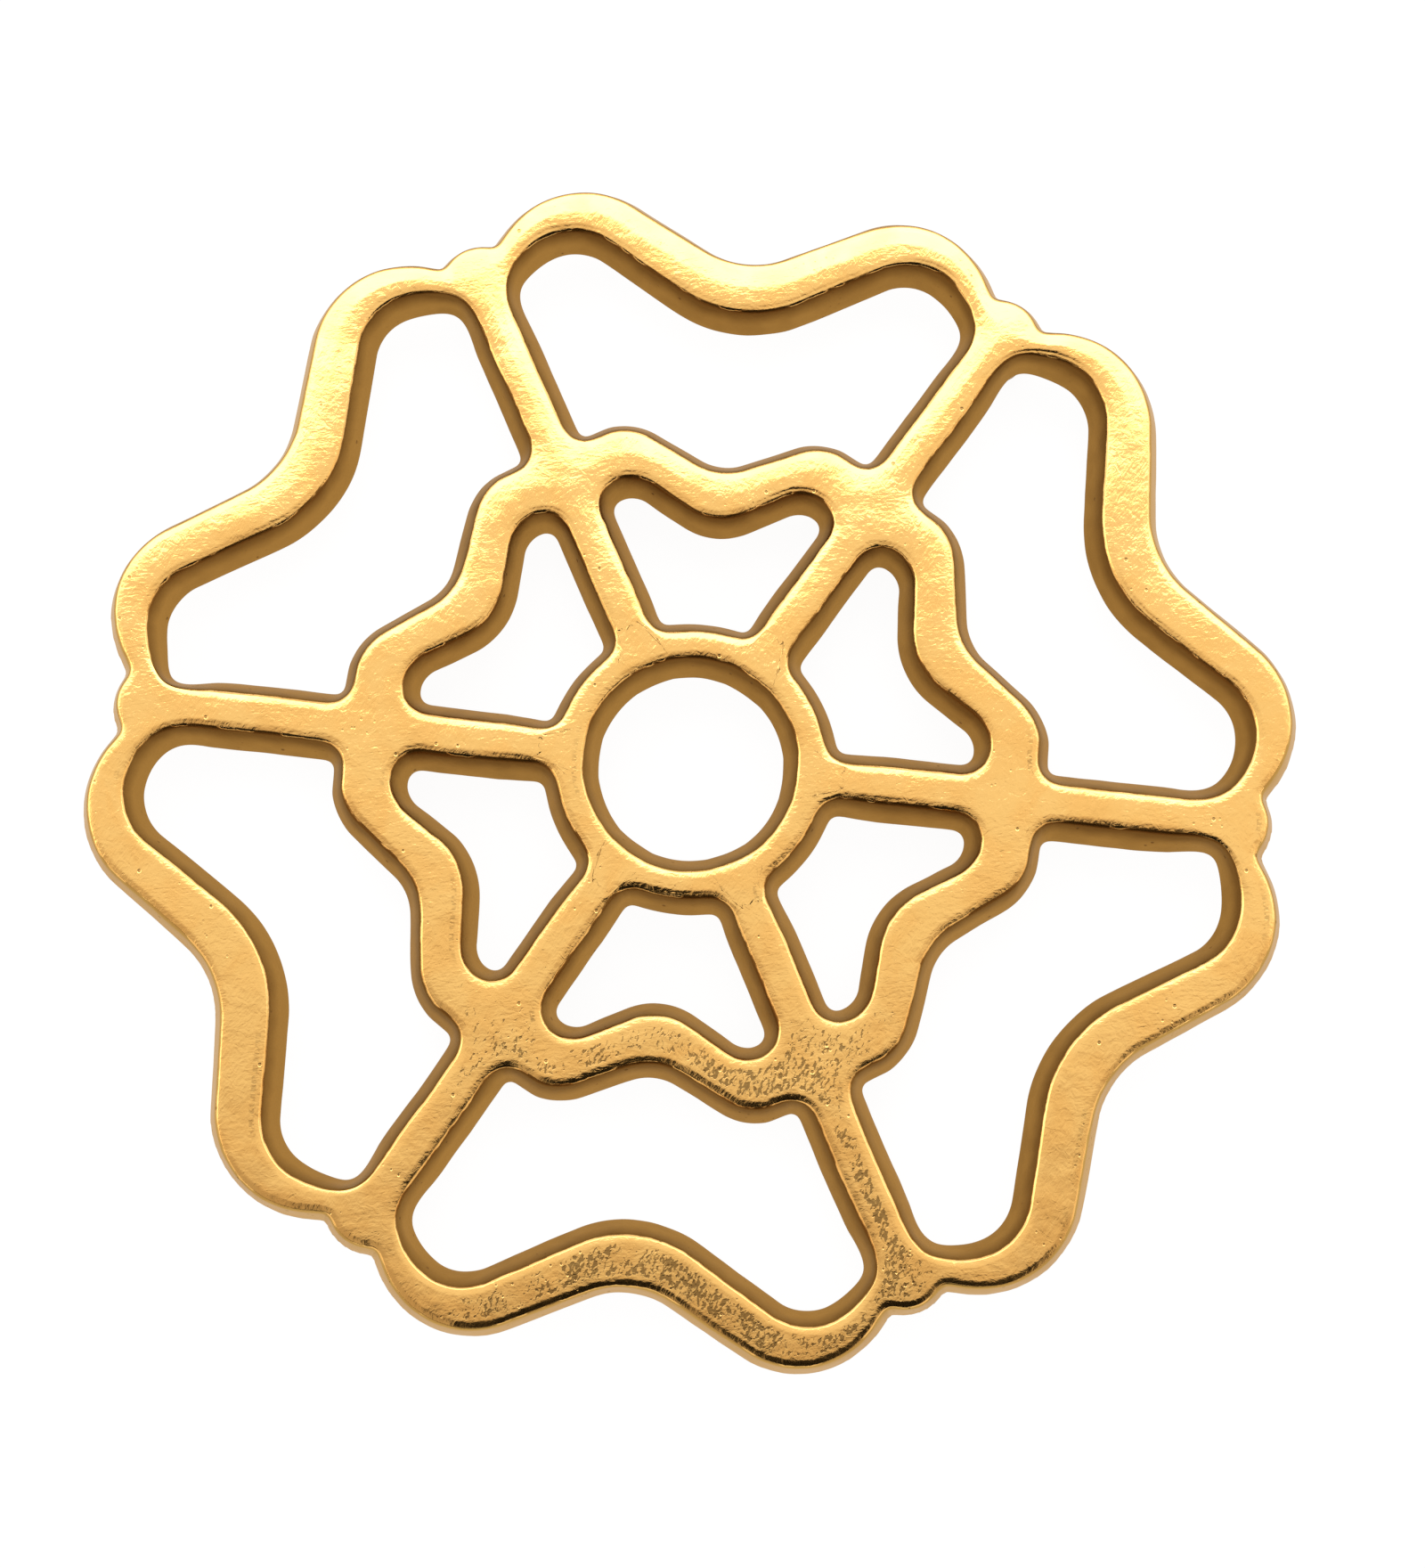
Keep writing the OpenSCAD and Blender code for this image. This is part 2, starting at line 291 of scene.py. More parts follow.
@dataclass(frozen=True)
class BuffedBrass:
    """Sand-cast brass whose top was buffed to a shine, with satin walls below. Its colours also
    carry painted shade, a painted sheen and painted dark reflections.

    Sizes are those of a feature of the pattern, and depths are in millimetres.
    """

    name: str = "buffed_brass"
    shine: tuple = (0.91, 0.54, 0.165, 1.0)
    shine_deep: tuple = (0.87, 0.475, 0.13, 1.0)
    satin: tuple = (0.39, 0.200, 0.045, 1.0)
    # The dark end of the walls' tone, for random streaks and for painted shade under the rims.
    satin_streak_and_shade: tuple = (0.175, 0.078, 0.016, 1.0)
    # A lit copy of the satin for the outer walls: painted sheen.
    outer_satin_lit: tuple = (0.58, 0.345, 0.092, 1.0)
    pit: tuple = (0.16, 0.075, 0.022, 1.0)
    # Painted dark reflection, for the grooves and for the dashes beside the rims.
    groove: tuple = (0.10, 0.056, 0.019, 1.0)
    grazing: tuple = (0.92, 0.77, 0.58, 1.0)
    shine_rough: float = 0.115
    satin_rough: float = 0.40
    outer_rough: float = 0.26
    pit_rough: float = 0.25
    pit_strength: float = 0.75
    groove_strength: float = 0.68
    wall_tilt: float = 0.66
    shine_tilt: float = 0.78
    worn_side: tuple = (0.1045, -0.9945, 0.0)
    worn_across: tuple = (0.9945, 0.1045, 0.0)
    worn_from: float = 20 * MM
    worn_full: float = 70 * MM
    # Heights over which the painted shade under the rim gives way to the lighter wall lower down.
    sunk_from: float = 13.7 * MM
    sunk_full: float = 10.2 * MM
    ragged_size: float = 2.2 * MM
    # Size of the patches of painted dark reflection on rims facing the picture's bottom.
    painted_dark_rim_size: float = 7.0 * MM
    blotch_size: float = 7 * MM
    streak_size: float = 4.0 * MM
    fine_size: float = 0.5 * MM
    pit_patch: float = 9 * MM
    small_pits: float = 1.3 * MM
    large_pits: float = 4.3 * MM
    groove_width: float = 0.46 * MM
    groove_patch: float = 8 * MM
    groove_turn: float = 70.0
    dash_width: float = 0.45 * MM
    dash_patch: float = 9 * MM
    dash_turn: float = 5.0
    swell_size: float = 4.0 * MM
    swell_depth: float = 0.07
    peel_size: float = 1.3 * MM
    peel_depth: float = 0.032
    stroke_width: float = 0.42 * MM
    stroke_patch: float = 13.0 * MM
    stroke_depth: float = 0.024
    stroke_turns: tuple = (12.0, 66.0)
    sand_size: float = 0.7 * MM
    sand_depth: float = 0.032
    pit_depth: float = 0.05

    def make(self) -> bpy.types.Material:
        """Makes the material.

        Returns:
            The material.
        """
        material = bpy.data.materials.new(self.name)
        material.use_nodes = True
        graph = Graph(material.node_tree)
        place = graph.node("ShaderNodeTexCoord", out="Object")
        toward = graph.toward(place, self.worn_side)
        worn = toward.ramp(self.worn_from, self.worn_full)
        lower = graph.mark(LOWER_SIDE)
        right = graph.mark(RIGHT_SIDE)
        # Painted sheen: the outer walls are lighter and less rough, most where they face the
        # picture's bottom and sides.
        outer_sheen_painted = graph.mark(OUTER_WALL) * (0.25 + abs(right).most(lower) * 0.6)
        shiny = self._buffed(graph, place, lower)
        pits = self._pits(graph, place, worn)
        inset = graph.mark(INSET)
        # Grooves and dashes: small dips in the relief, painted dark as reflections.
        grooves = self._grooves(graph, place, toward, inset).most(
            self._dashes(graph, place, toward, inset, right))
        blotch = graph.grain(place, self.blotch_size, 4.0, 0.6).ramp(0.38, 0.64)

        bright = graph.mix(blotch * 0.7, self.shine, self.shine_deep)
        # The walls below the polish carry painted shade and a painted sheen.
        colour = graph.mix(shiny, self._walls_with_painted_shade(graph, place, lower, right, outer_sheen_painted), bright)
        colour = graph.mix(pits * self.pit_strength, colour, self.pit)
        # Painted dark reflection in the grooves and dashes.
        colour = graph.mix(grooves * shiny * self.groove_strength, colour, self.groove)

        fine = graph.grain(place, self.fine_size, 3.0)
        rough = self.satin_rough + (fine - 0.5) * 0.1
        rough = rough + outer_sheen_painted * (self.outer_rough - rough)
        polish = self.shine_rough + (blotch - 0.5) * 0.05
        rough = rough + shiny * (polish - rough)
        rough = rough + pits * self.pit_rough

        bsdf = graph.node(
            "ShaderNodeBsdfPrincipled", {},
            {"Base Color": colour, "Metallic": 1.0, "Roughness": rough,
             "Specular Tint": self.grazing,
             "Normal": self._relief(graph, place, shiny, worn, grooves, pits)})
        graph.node("ShaderNodeOutputMaterial", {}, {"Surface": bsdf})
        return material

    def _buffed(self, graph: Graph, place: Sock, lower: Sock) -> Sock:
        """Where the buff reached: the top, with a ragged edge at the rims. On rims facing the
        picture's bottom the satin reaches further in, as a painted dark reflection.

        Args:
            graph: the material's tree.
            place: the coordinates.
            lower: how much the nearest wall faces the picture's bottom.

        Returns:
            1 where it shines and 0 where it is satin.
        """
        ragged = graph.grain(place, self.ragged_size, 4.0)
        # Painted dark reflection: on rims facing the picture's bottom, satin patches reach onto
        # the top and the edge is more ragged.
        painted_dark_rim = lower * graph.grain(place, self.painted_dark_rim_size, 2.0, 0.5).ramp(0.42, 0.58)
        reached = graph.mark(FACING_UP) + (ragged - 0.5) * (0.24 + lower * 0.2)
        return (reached - painted_dark_rim * 0.22).ramp(self.wall_tilt, self.shine_tilt)

    def _walls_with_painted_shade(self, graph: Graph, place: Sock, lower: Sock, right: Sock,
              outer_sheen_painted: Sock) -> Sock:
        """The walls' colour: darkest under the rim, and golden outside.

        Args:
            graph: the material's tree.
            place: the coordinates.
            lower: how much the nearest wall faces the picture's bottom.
            right: how much it faces the picture's right.
            outer_sheen_painted: how much of the outer walls' painted sheen there is.

        Returns:
            The colour.
        """
        height = graph.node("ShaderNodeSeparateXYZ", {}, {0: place}, out="Z")
        # Painted shade: dark high on the wall, under the rim, and lighter lower down.
        sunk = height.ramp(self.sunk_from, self.sunk_full)
        streak = graph.grain(place, self.streak_size, 3.0).ramp(0.3, 0.7)
        # Painted light and shade: lighter on walls facing the picture's right, darker under the
        # rim on walls facing its bottom; the streaks are random tone.
        streak_and_shade = 0.04 + sunk * 0.72 + streak * 0.22 + right * 0.2 - lower * (1 - sunk) * 0.3
        dull = graph.mix(streak_and_shade, self.satin_streak_and_shade, self.satin)
        # The outer walls take the painted sheen.
        return graph.mix(outer_sheen_painted, dull, self.outer_satin_lit)

    def _pits(self, graph: Graph, place: Sock, worn: Sock) -> Sock:
        """Small casting voids, thicker on the worn side.

        Args:
            graph: the material's tree.
            place: the coordinates.
            worn: how much of the worn side it is.

        Returns:
            1 in a pit.
        """
        spread = graph.grain(place, self.pit_patch, 2.0).ramp(0.54, 0.68)
        small = graph.cells(place, self.small_pits).ramp(0.17, 0.1)
        large = graph.cells(place, self.large_pits).ramp(0.075, 0.045)
        return (small * spread * (0.25 + worn * 0.5) + large * 0.7).least(1.0)

    def _grooves(self, graph: Graph, place: Sock, toward: Sock, inset: Sock) -> Sock:
        """Short grooves in the middle of the worn side, whose dark colour is a painted
        reflection.

        Args:
            graph: the material's tree.
            place: the coordinates.
            toward: how far toward the worn side it is.
            inset: how far from the rim it is, in millimetres.

        Returns:
            1 in a groove.
        """
        share = toward.ramp(24 * MM, 50 * MM) * inset.ramp(0.3, 1.2)
        across = graph.toward(place, self.worn_across)
        share = share * across.band(-27 * MM, 28 * MM, 12 * MM)
        share = share * graph.grain(place, self.groove_patch, 2.0).ramp(0.20, 0.50)
        worms = graph.strokes(place, self.groove_width, 1.7, self.groove_turn)
        return (worms + (1 - share) * 0.30).ramp(0.56, 0.44)

    def _dashes(self, graph: Graph, place: Sock, toward: Sock, inset: Sock,
                right: Sock) -> Sock:
        """Dark dashes just inside the rims that face the picture's right: a painted dark
        reflection.

        Args:
            graph: the material's tree.
            place: the coordinates.
            toward: how far toward the worn side it is.
            inset: how far from the rim it is, in millimetres.
            right: how much the nearest wall faces the picture's right.

        Returns:
            1 in a dash.
        """
        beside_rim = inset.band(0.35, 0.85, 0.2) * right.ramp(0.36, 0.46)
        dashes = graph.strokes(place, self.dash_width, 2.2, self.dash_turn).ramp(0.56, 0.44)
        dashes = dashes * graph.grain(place, self.dash_patch, 1.0).ramp(0.44, 0.52)
        return beside_rim * dashes * toward.ramp(-12 * MM, 2 * MM)

    def _relief(self, graph: Graph, place: Sock, shiny: Sock, worn: Sock, grooves: Sock,
                pits: Sock) -> Sock:
        """Orange peel on the top, sand grain on the walls, and the pits.

        Args:
            graph: the material's tree.
            place: the coordinates.
            shiny: how much of the buffed top it is.
            worn: how much of the worn side it is.
            grooves: the dark grooves.
            pits: the pits.

        Returns:
            The normal.
        """
        swell = graph.grain(place, self.swell_size, 2.0)
        peel = graph.grain(place, self.peel_size, 3.0, 1.4)
        patches = graph.grain(place, self.stroke_patch, 1.0).ramp(0.4, 0.6)
        level_strokes, steep_strokes = (
            graph.strokes(place, self.stroke_width, 3.0, turn) for turn in self.stroke_turns)
        strokes = level_strokes + patches * (steep_strokes - level_strokes)
        sand = graph.grain(place, self.sand_size, 3.0)
        peeled = peel * (self.peel_depth - worn * 0.010) - grooves * 0.012
        top = swell * self.swell_depth + peeled + strokes * (self.stroke_depth - worn * 0.006)
        wall = sand * self.sand_depth
        level = wall + shiny * (top - wall) - pits * self.pit_depth
        return graph.node(
            "ShaderNodeBump", {},
            {"Strength": 1.0, "Distance": MM, "Height": level})


@dataclass(frozen=True)
class PlainCastBrass:
    """Brass as it left the sand, a little brown."""

    name: str = "plain_cast_brass"
    light: tuple = (0.56, 0.335, 0.115, 1.0)
    dark: tuple = (0.36, 0.195, 0.062, 1.0)
    stain_size: float = 3 * MM
    sand_size: float = 0.5 * MM
    sand_depth: float = 0.1
    rough: float = 0.42
    rough_spread: float = 0.22

    def make(self) -> bpy.types.Material:
        """Makes the material.

        Returns:
            The material.
        """
        material = bpy.data.materials.new(self.name)
        material.use_nodes = True
        graph = Graph(material.node_tree)
        place = graph.node("ShaderNodeTexCoord", out="Object")
        stain = graph.grain(place, self.stain_size, 4.0, 0.5).ramp(0.3, 0.7)
        sand = graph.grain(place, self.sand_size, 4.0)
        bump = graph.node(
            "ShaderNodeBump", {},
            {"Strength": 1.0, "Distance": MM, "Height": sand * self.sand_depth})
        bsdf = graph.node(
            "ShaderNodeBsdfPrincipled", {},
            {"Base Color": graph.mix(stain, self.light, self.dark), "Metallic": 1.0,
             "Roughness": self.rough + sand * self.rough_spread, "Normal": bump})
        graph.node("ShaderNodeOutputMaterial", {}, {"Surface": bsdf})
        return material


# The casting


def finished(name: str, mesh: bpy.types.Mesh, material: bpy.types.Material,
             nodes: list[str]) -> bpy.types.Object:
    """Makes a piece of a mesh and hands it to the frame.

    Args:
        name: the piece's name.
        mesh: its mesh, in place.
        material: its material.
        nodes: the solids that it stands for.

    Returns:
        The piece.
    """
    piece = bpy.data.objects.new(name, mesh)
    bpy.context.scene.collection.objects.link(piece)
    mesh.materials.clear()
    mesh.materials.append(material)
    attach(piece, BODY)
    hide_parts(*nodes)
    LOG.info("piece %s: %d faces", name, len(mesh.polygons))
    return piece


@dataclass(frozen=True)
class Stray:
    """How one spoke strays from its pattern, in millimetres."""

    wider: float
    inner_shift: float
    outer_shift: float
    sharp_left: float
    sharp_right: float


@dataclass(frozen=True)
class HandCutPattern:
    """The wooden pattern, whose spokes are not quite alike. Reaches are in millimetres."""

    strays: tuple = (
        Stray(0.30, 0.0, 0.0, 0.3, 1.9), Stray(-0.15, -0.9, -0.9, 1.0, 1.3),
        Stray(-0.1, 0.2, 0.35, 1.3, 0.9), Stray(0.35, 0.25, 0.4, 0.2, 2.1),
        Stray(0.35, 0.2, -0.9, 0.7, 1.5), Stray(0.35, 0.6, 1.5, 0.8, 1.2))
    corner: tuple = (75.6 * MM, 6.5 * MM)
    corner_spread: float = 2.4 * MM
    corner_fade: float = 3.0
    shrink: float = 0.0021
    hub_reach: float = 25.0
    least_reach: float = 20 * MM
    outer_start: float = 30.0
    outer_span: float = 32.0
    spoke_start: float = 22.0
    spoke_end: float = 90.0
    straight_end: float = 77.0
    end_fade: float = 6.0
    half_width: float = 11.0
    side_fade: float = 5.0
    middle_fade: float = 4.0

    def moved(self, point: Vector) -> Vector:
        """Moves a point with its spoke.

        Args:
            point: a point of the perfect casting.

        Returns:
            The point, moved in the plane of the table.
        """
        reach = math.hypot(point.x, point.y)
        angle = math.atan2(point.y, point.x)
        turn = (angle / SECTOR) % 6
        before, after = self.strays[int(turn) % 6], self.strays[(int(turn) + 1) % 6]
        share = turn - int(turn)
        share = share * share * (3 - 2 * share)
        inner = before.inner_shift + (after.inner_shift - before.inner_shift) * share
        outer = before.outer_shift + (after.outer_shift - before.outer_shift) * share
        out = share_past(reach / MM, self.outer_start, self.outer_span)
        shift = (inner * min(1.0, reach / MM / self.hub_reach) * (1 - out) + outer * out) * MM
        angle -= shift / max(reach, self.least_reach)
        reach *= 1 - self.shrink * out
        moved = Vector((math.cos(angle) * reach, math.sin(angle) * reach, point.z))
        for move in self._own_strays(point, round(turn) % 6):
            moved += move
        return moved

    def _own_strays(self, point: Vector, number: int) -> list[Vector]:
        """How a spoke's own width and its tip's corners move a point.

        Args:
            point: a point of the perfect casting.
            number: the nearest spoke, from 0.

        Returns:
            The moves.
        """
        spoke = self.strays[number]
        along = Vector((math.cos(number * SECTOR), math.sin(number * SECTOR), 0.0))
        across = Vector((-along.y, along.x, 0.0))
        far, side = point.dot(along), point.dot(across)
        if not self.spoke_start * MM < far < self.spoke_end * MM:
            return []
        run = share_past(far / MM, self.spoke_start, self.end_fade)
        run *= share_past(self.straight_end - far / MM, 0, self.end_fade)
        wide = share_past(self.half_width - abs(side) / MM, 0, self.side_fade)
        wide *= min(1.0, abs(side) / MM / self.middle_fade)
        widened = across * math.copysign(spoke.wider * run * wide * MM, side)
        amount = spoke.sharp_left if side > 0 else spoke.sharp_right
        off = math.hypot(far - self.corner[0], abs(side) - self.corner[1]) / self.corner_spread
        amount *= math.exp(-off * off / 2) * min(1.0, abs(side) / MM / self.corner_fade) * MM
        outward = along - across * math.copysign(1.0, side)
        return [widened, outward * amount * math.sqrt(0.5)]


@dataclass
class Casting:
    """Hub ring, spokes and petals: one smooth skin, parted into the named pieces.

    The walls' tree is made once the joined casting has its walls.
    """

    underside: float = 8 * MM
    top: float = 14 * MM
    merge: float = 0.01 * MM
    level: float = 0.99
    upright: float = 0.05
    shared_edge: float = 3 * MM
    spoke_inner_run: tuple = (23.6, 38.6, 7)
    spoke_outer_run: tuple = (55.2, 71.0, 7)
    wall_cuts: tuple = (9.7 * MM, 11.6 * MM)
    pattern: HandCutPattern = HandCutPattern()
    picture_up: tuple = (-0.1045, 0.9945, 0.0)
    rim_round: float = 0.40 * MM
    rim_hold: float = 0.2 * MM
    under_round: float = 0.2 * MM
    steeper_outside: float = 0.4 * MM
    steeper_below: float = 0.5 * MM
    steeper_reach: float = 2.6 * MM
    steeper_facing: tuple = (0.1, 0.5)
    wander_size: float = 11 * MM
    wander: float = 0.14
    ripple_size: float = 3.6 * MM
    ripple: float = 0.06
    dip_size: float = 8 * MM
    dip: float = 0.04
    dimple_size: float = 2.2 * MM
    dimple: float = 0.01
    shoulder_drop: float = 0.12 * MM
    shoulder_reach: float = 0.60 * MM
    shoulder_patch: float = 13 * MM
    shoulder_near: float = 0.85
    worn_drop: float = 0.02 * MM
    far_drop: float = 0.16 * MM
    worn_reach: float = 2.4 * MM
    far_reach: float = 2.8 * MM
    worn_patch: float = 11 * MM
    outer_from: float = 60 * MM
    outer_facing: float = 0.3
    far_side: tuple = (15, 50)
    near_side: tuple = (15, 35)
    levels: int = 2
    cross_cuts: int = 3
    seed: int = 11
    walls: BVHTree | None = None

    def names(self) -> list[str]:
        """Names of the casting's nodes, in order."""
        kinds = ("spoke", "inner_petal", "outer_petal")
        return ["hub_ring"] + [f"{kind}_{k}" for kind in kinds for k in range(1, 7)]

    def build(self, material: bpy.types.Material) -> list[bpy.types.Object]:
        """Builds every piece of the casting.

        Args:
            material: the casting's finish.

        Returns:
            The pieces.
        """
        noise.seed_set(self.seed)
        names = self.names()
        whole = bmesh.new()
        whole.faces.layers.int.new(OWNER)
        for index, name in enumerate(names):
            mesh = self._opened(name)
            first = len(whole.faces)
            whole.from_mesh(mesh)
            whole.faces.ensure_lookup_table()
            owner = whole.faces.layers.int[OWNER]
            for face in whole.faces[first:]:
                face[owner] = index
            bpy.data.meshes.remove(mesh)
        bmesh.ops.remove_doubles(whole, verts=whole.verts[:], dist=self.merge)
        self._refine(whole)
        skin = self._smoothed(whole)
        whole.free()
        pieces = [
            self._parted(skin, index, name, material) for index, name in enumerate(names)]
        bpy.data.meshes.remove(skin)
        return pieces

    def _opened(self, name: str) -> bpy.types.Mesh:
        """A copy of one node's mesh as quads, with its parting faces taken off.

        Args:
            name: the node.

        Returns:
            The mesh.
        """
        part = bmesh.new()
        part.from_mesh(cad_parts[name].data)
        bmesh.ops.remove_doubles(part, verts=part.verts[:], dist=self.merge)
        bmesh.ops.join_triangles(
            part, faces=part.faces[:], angle_face_threshold=math.radians(40),
            angle_shape_threshold=math.pi)
        part.normal_update()
        partings = [face for face in part.faces if abs(face.normal.z) < self.upright]
        bmesh.ops.delete(part, geom=partings, context="FACES")
        kind, _, number = name.rpartition("_")
        if kind == "spoke":
            self._cut_spoke(part, (int(number) - 1) * SECTOR)
        mesh = bpy.data.meshes.new(name)
        part.to_mesh(mesh)
        part.free()
        return mesh

    def _cut_spoke(self, part: bmesh.types.BMesh, angle: float) -> None:
        """Cuts a spoke's straight runs across, and the edges it shares with the hub in half.

        Args:
            part: the spoke.
            angle: the spoke's direction.
        """
        along = Vector((math.cos(angle), math.sin(angle), 0.0))
        start = min(vert.co.dot(along) for vert in part.verts)
        shared = [
            edge for edge in part.edges
            if all(vert.co.dot(along) - start < self.merge for vert in edge.verts)
            and abs(edge.verts[0].co.z - edge.verts[1].co.z) < self.merge
            and edge.calc_length() > self.shared_edge]
        bmesh.ops.subdivide_edges(part, edges=shared, cuts=1)
        for first, last, count in (self.spoke_inner_run, self.spoke_outer_run):
            for step in range(count):
                reach = (first + (last - first) * step / (count - 1)) * MM
                geometry = part.verts[:] + part.edges[:] + part.faces[:]
                bmesh.ops.bisect_plane(
                    part, geom=geometry, dist=self.merge / 10,
                    plane_co=along * reach, plane_no=along)

    def _refine(self, whole: bmesh.types.BMesh) -> None:
        """Gives the joined casting the loops that hold its form when it is smoothed.

        Args:
            whole: the joined casting.
        """
        whole.normal_update()
        flat = [
            edge for edge in whole.edges
            if len(edge.link_faces) == 2
            and all(abs(face.normal.z) > self.level for face in edge.link_faces)]
        bmesh.ops.subdivide_edges(
            whole, edges=flat, cuts=self.cross_cuts, use_grid_fill=True)
        for height in self.wall_cuts:
            geometry = whole.verts[:] + whole.edges[:] + whole.faces[:]
            bmesh.ops.bisect_plane(
                whole, geom=geometry, dist=self.merge / 10,
                plane_co=Vector((0.0, 0.0, height)), plane_no=Vector((0.0, 0.0, 1.0)))
        self.walls = self._wall_tree(whole)
        self._round_rim(whole, self.underside, self.under_round, 1)
        self._round_rim(whole, self.top, self.rim_round, 2)
        whole.normal_update()
        table = [
            face for face in whole.faces
            if face.normal.z > self.level
            and face.calc_center_median().z > self.top - self.merge]
        bmesh.ops.inset_region(
            whole, faces=table, thickness=self.rim_hold, use_boundary=True,
            use_even_offset=True)
        loose = sum(1 for edge in whole.edges if len(edge.link_faces) != 2)
        LOG.info("joined casting: %d faces, %d open edges", len(whole.faces), loose)

    def _wall_tree(self, whole: bmesh.types.BMesh) -> BVHTree:
        """The walls alone, to measure how far a point of the top is from the nearest rim.

        Args:
            whole: the joined casting, before its rims are rounded.

        Returns:
            The walls' tree.
        """
        whole.normal_update()
        walls = whole.copy()
        flat = [face for face in walls.faces if abs(face.normal.z) > self.level]
        bmesh.ops.delete(walls, geom=flat, context="FACES")
        tree = BVHTree.FromBMesh(walls)
        walls.free()
        return tree

    def _round_rim(self, whole: bmesh.types.BMesh, height: float, size: float,
                   segments: int) -> None:
        """Rounds every edge between a flat face and a wall at one height.

        Args:
            whole: the joined casting.
            height: height of the flat face.
            size: how far the rounding reaches.
            segments: how many faces it has across.
        """
        whole.normal_update()
        rim = []
        for edge in whole.edges:
            if any(abs(vert.co.z - height) > self.merge for vert in edge.verts):
                continue
            levels = [abs(face.normal.z) > self.level for face in edge.link_faces]
            if len(levels) == 2 and levels[0] != levels[1]:
                rim.append(edge)
        bmesh.ops.bevel(
            whole, geom=rim, offset=size, offset_type="OFFSET", segments=segments,
            profile=0.5, affect="EDGES", clamp_overlap=False, material=-1)

    def _smoothed(self, whole: bmesh.types.BMesh) -> bpy.types.Mesh:
        """Smooths the joined casting and gives it the unevenness of a real one.

        Args:
            whole: the joined casting.

        Returns:
            The skin.
        """
        rough = bpy.data.meshes.new("casting_rough")
        whole.to_mesh(rough)
        carrier = bpy.data.objects.new("casting_rough", rough)
        bpy.context.scene.collection.objects.link(carrier)
        smooth = carrier.modifiers.new("smooth", "SUBSURF")
        smooth.levels = smooth.render_levels = self.levels
        skin = bpy.data.meshes.new_from_object(
            carrier.evaluated_get(bpy.context.evaluated_depsgraph_get()))
        bpy.data.objects.remove(carrier)
        bpy.data.meshes.remove(rough)
        marks = {name: [] for name in (
            OUTER_WALL, FACING_UP, INSET, LOWER_SIDE, RIGHT_SIDE)}
        up = Vector(self.picture_up)
        right = Vector((up.y, -up.x, 0.0))
        for vert in skin.vertices:
            _, wall, _, inward = self.walls.find_nearest(vert.co)
            steep = max(0.5, wall.to_2d().length)
            lower = max(0.0, -wall.dot(up)) / steep
            marks[INSET].append(inward / MM)
            marks[LOWER_SIDE].append(lower)
            marks[RIGHT_SIDE].append(right.dot(wall) / steep)
            tucked = self._tucked(vert.co, wall, inward, lower)
            vert.co = self._uneven(vert.co, inward, lower) + tucked
        skin.update()
        for vert in skin.vertices:
            outward = Vector((vert.co.x, vert.co.y, 0.0))
            marks[OUTER_WALL].append(float(
                outward.length > self.outer_from
                and vert.normal.dot(outward.normalized()) > self.outer_facing))
            marks[FACING_UP].append(vert.normal.z)
        for name, values in marks.items():
            skin.attributes.new(name, "FLOAT", "POINT").data.foreach_set("value", values)
        return skin

    def _tucked(self, point: Vector, wall: Vector, inward: float, lower: float) -> Vector:
        """How far a point moves in because the outer walls stand steeper than the inner ones.

        Args:
            point: a point of the perfect casting.
            wall: the way that the nearest wall faces.
            inward: how far the point is from that wall.
            lower: how much that wall faces the picture's bottom.

        Returns:
            The move.
        """
        outward = Vector((point.x, point.y, 0.0))
        if outward.length < self.outer_from:
            return Vector()
        facing = Vector((wall.x, wall.y, 0.0)).normalized()
        share = share_past(facing.dot(outward.normalized()), *self.steeper_facing)
        share *= max(0.0, 1.0 - inward / self.steeper_reach)
        depth = (self.top - point.z) / (self.top - self.underside)
        return facing * -(self.steeper_outside + self.steeper_below * lower) * share * depth

    def _uneven(self, point: Vector, inward: float, lower: float) -> Vector:
        """Where a point of the perfect casting lies on the real one.

        Args:
            point: a point of the perfect casting.
            inward: how far the point is from the nearest wall.
            lower: how much that wall faces the picture's bottom.

        Returns:
            The point, moved by a tenth of a millimetre or so.
        """
        shift = noise.noise_vector(point / self.wander_size) * self.wander * MM
        elsewhere = point / self.ripple_size + Vector((7.1, 3.3, 1.7))
        shift += noise.noise_vector(elsewhere) * self.ripple * MM
        height = max(0.0, (point.z - self.underside) / (self.top - self.underside))
        moved = self.pattern.moved(point) + Vector((shift.x, shift.y, 0.0))
        sag = (0.5 + noise.noise(point / self.dip_size)) * self.dip * MM
        sag += noise.noise(point / self.dimple_size) * self.dimple * MM
        upward = point.dot(Vector(self.picture_up)) / MM
        far = share_past(upward, *self.far_side)
        near = share_past(-upward, *self.near_side)
        uneven = noise.noise(point / self.worn_patch + Vector((2.3, 8.1, 4.4)))
        worn = (self.worn_drop + self.far_drop * far) * (1.0 + 0.6 * uneven)
        sag += worn * max(0.0, 1.0 - inward / (self.worn_reach + self.far_reach * far)) ** 2
        patch = noise.noise(point / self.shoulder_patch + Vector((5.2, 1.1, 7.7)))
        shoulder = self.shoulder_drop * max(0.0, 0.05 + lower * (0.15 + 1.3 * patch))
        shoulder *= 1 - self.shoulder_near * near
        sag += shoulder * max(0.0, 1.0 - inward / self.shoulder_reach) ** 2
        moved.z -= max(0.0, sag) * height * height
        moved.z = max(self.underside, min(self.top, moved.z))
        return moved

